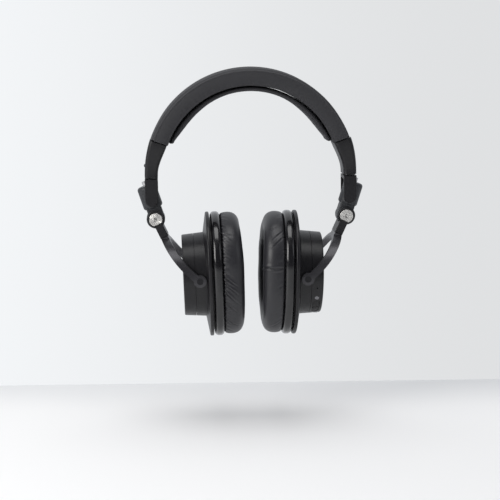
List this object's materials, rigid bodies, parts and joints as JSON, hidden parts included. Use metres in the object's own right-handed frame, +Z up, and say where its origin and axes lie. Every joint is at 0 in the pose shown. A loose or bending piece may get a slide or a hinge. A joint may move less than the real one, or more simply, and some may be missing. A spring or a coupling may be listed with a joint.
{
  "type": "over-ear headphones",
  "caption": "Closed over-ear studio headphones: padded arched headband, sliding arms, swivelling and folding forked yokes, drum-shaped cups with oval leather pads and side keys.",
  "frame": {"origin": "highest point of the headband cushion's inner face, where a head or a stand's saddle carries it", "axes": "+Z up, +X toward the wearer's left, -Y toward the wearer's front"},
  "size_m": [0.1892, 0.088, 0.2259],
  "materials": {
    "headband_leather": "matte",
    "cushion_leather": "matte",
    "pad_leather": "satin",
    "frame_plastic": "satin",
    "hinge_plastic": "satin",
    "drum_plastic": "satin",
    "rim_plastic": "gloss",
    "yoke_metal": "satin",
    "silver": "satin",
    "steel": "satin",
    "black_metal": "satin",
    "screen_cloth": "matte",
    "magnet": "satin",
    "film": "gloss",
    "key_rubber": "matte",
    "light_lens": "gloss",
    "socket_plastic": "satin",
    "board": "satin",
    "battery_wrap": "satin"
  },
  "bodies": {
    "headband": {"headband_cover": "headband_leather", "headband_spring": "steel", "headband_cushion": "cushion_leather", "end_cap_outer_left": "frame_plastic", "end_cap_outer_right": "frame_plastic", "end_cap_inner_left": "frame_plastic", "end_cap_inner_right": "frame_plastic", "end_cap_rivet_left": "black_metal", "end_cap_rivet_right": "black_metal", "detent_spring_left": "steel", "detent_spring_right": "steel"},
    "left_slider": {"slider_strip_left": "steel", "slider_housing_left": "frame_plastic", "swivel_pin_left": "steel"},
    "left_swivel": {"swivel_block_left": "hinge_plastic"},
    "left_yoke": {"yoke_stem_left": "frame_plastic", "yoke_left": "yoke_metal", "fold_pin_left": "steel", "hinge_disc_left": "silver", "hinge_cap_left": "silver", "pivot_pins_left": "black_metal"},
    "left_cup": {"cup_body_left": "drum_plastic", "cup_cover_left": "drum_plastic", "baffle_left": "rim_plastic", "baffle_screws_left": "black_metal", "ear_pad_left": "pad_leather", "driver_frame_left": "socket_plastic", "driver_magnet_left": "magnet", "diaphragm_left": "film", "driver_grille_left": "black_metal", "acoustic_screen_left": "screen_cloth", "switch_board": "board", "status_light": "light_lens", "jack_socket": "socket_plastic", "charging_socket": "steel", "microphone": "steel", "circuit_board": "board"},
    "right_slider": {"slider_strip_right": "steel", "slider_housing_right": "frame_plastic", "swivel_pin_right": "steel"},
    "right_swivel": {"swivel_block_right": "hinge_plastic"},
    "right_yoke": {"yoke_stem_right": "frame_plastic", "yoke_right": "yoke_metal", "fold_pin_right": "steel", "hinge_disc_right": "silver", "hinge_cap_right": "silver", "pivot_pins_right": "black_metal"},
    "right_cup": {"cup_body_right": "drum_plastic", "cup_cover_right": "drum_plastic", "baffle_right": "rim_plastic", "baffle_screws_right": "black_metal", "ear_pad_right": "pad_leather", "driver_frame_right": "socket_plastic", "driver_magnet_right": "magnet", "diaphragm_right": "film", "driver_grille_right": "black_metal", "acoustic_screen_right": "screen_cloth", "battery": "battery_wrap"},
    "upper_key": {"key_upper": "key_rubber"},
    "lower_key": {"key_lower": "key_rubber"}
  },
  "joints": [
    {"name": "slider_left", "type": "slide", "parent": "headband", "child": "left_slider", "axis": [0, 0, -1], "range_m": [0, 0.018]},
    {"name": "swivel_left", "type": "hinge", "parent": "left_slider", "child": "left_swivel", "pos_m": [0.07856, 0, -0.1049], "axis": [0.309, 0, 0.9511], "range_deg": [-90, 90]},
    {"name": "fold_left", "type": "hinge", "parent": "left_swivel", "child": "left_yoke", "pos_m": [0.0798, 0, -0.1053], "axis": [0, 1, 0], "range_deg": [0, 8]},
    {"name": "tilt_left", "type": "hinge", "parent": "left_yoke", "child": "left_cup", "pos_m": [0.0444, 0, -0.1535], "axis": [0, 1, 0], "range_deg": [-5, 5]},
    {"name": "slider_right", "type": "slide", "parent": "headband", "child": "right_slider", "axis": [0, 0, -1], "range_m": [0, 0.018]},
    {"name": "swivel_right", "type": "hinge", "parent": "right_slider", "child": "right_swivel", "pos_m": [-0.07856, 0, -0.1049], "axis": [-0.309, 0, 0.9511], "range_deg": [-90, 90]},
    {"name": "fold_right", "type": "hinge", "parent": "right_swivel", "child": "right_yoke", "pos_m": [-0.0798, 0, -0.1053], "axis": [0, 1, 0], "range_deg": [-8, 0]},
    {"name": "tilt_right", "type": "hinge", "parent": "right_yoke", "child": "right_cup", "pos_m": [-0.0444, 0, -0.1535], "axis": [0, 1, 0], "range_deg": [-5, 5]},
    {"name": "upper_key_press", "type": "slide", "parent": "left_cup", "child": "upper_key", "axis": [0.0201, 0.6428, 0.7658], "range_m": [0, 0.0005], "stiffness_N_per_m": 1500, "springref_m": -0.0005},
    {"name": "lower_key_press", "type": "slide", "parent": "left_cup", "child": "lower_key", "axis": [0.0201, 0.6428, 0.7658], "range_m": [0, 0.0005], "stiffness_N_per_m": 1500, "springref_m": -0.0005}
  ]
}
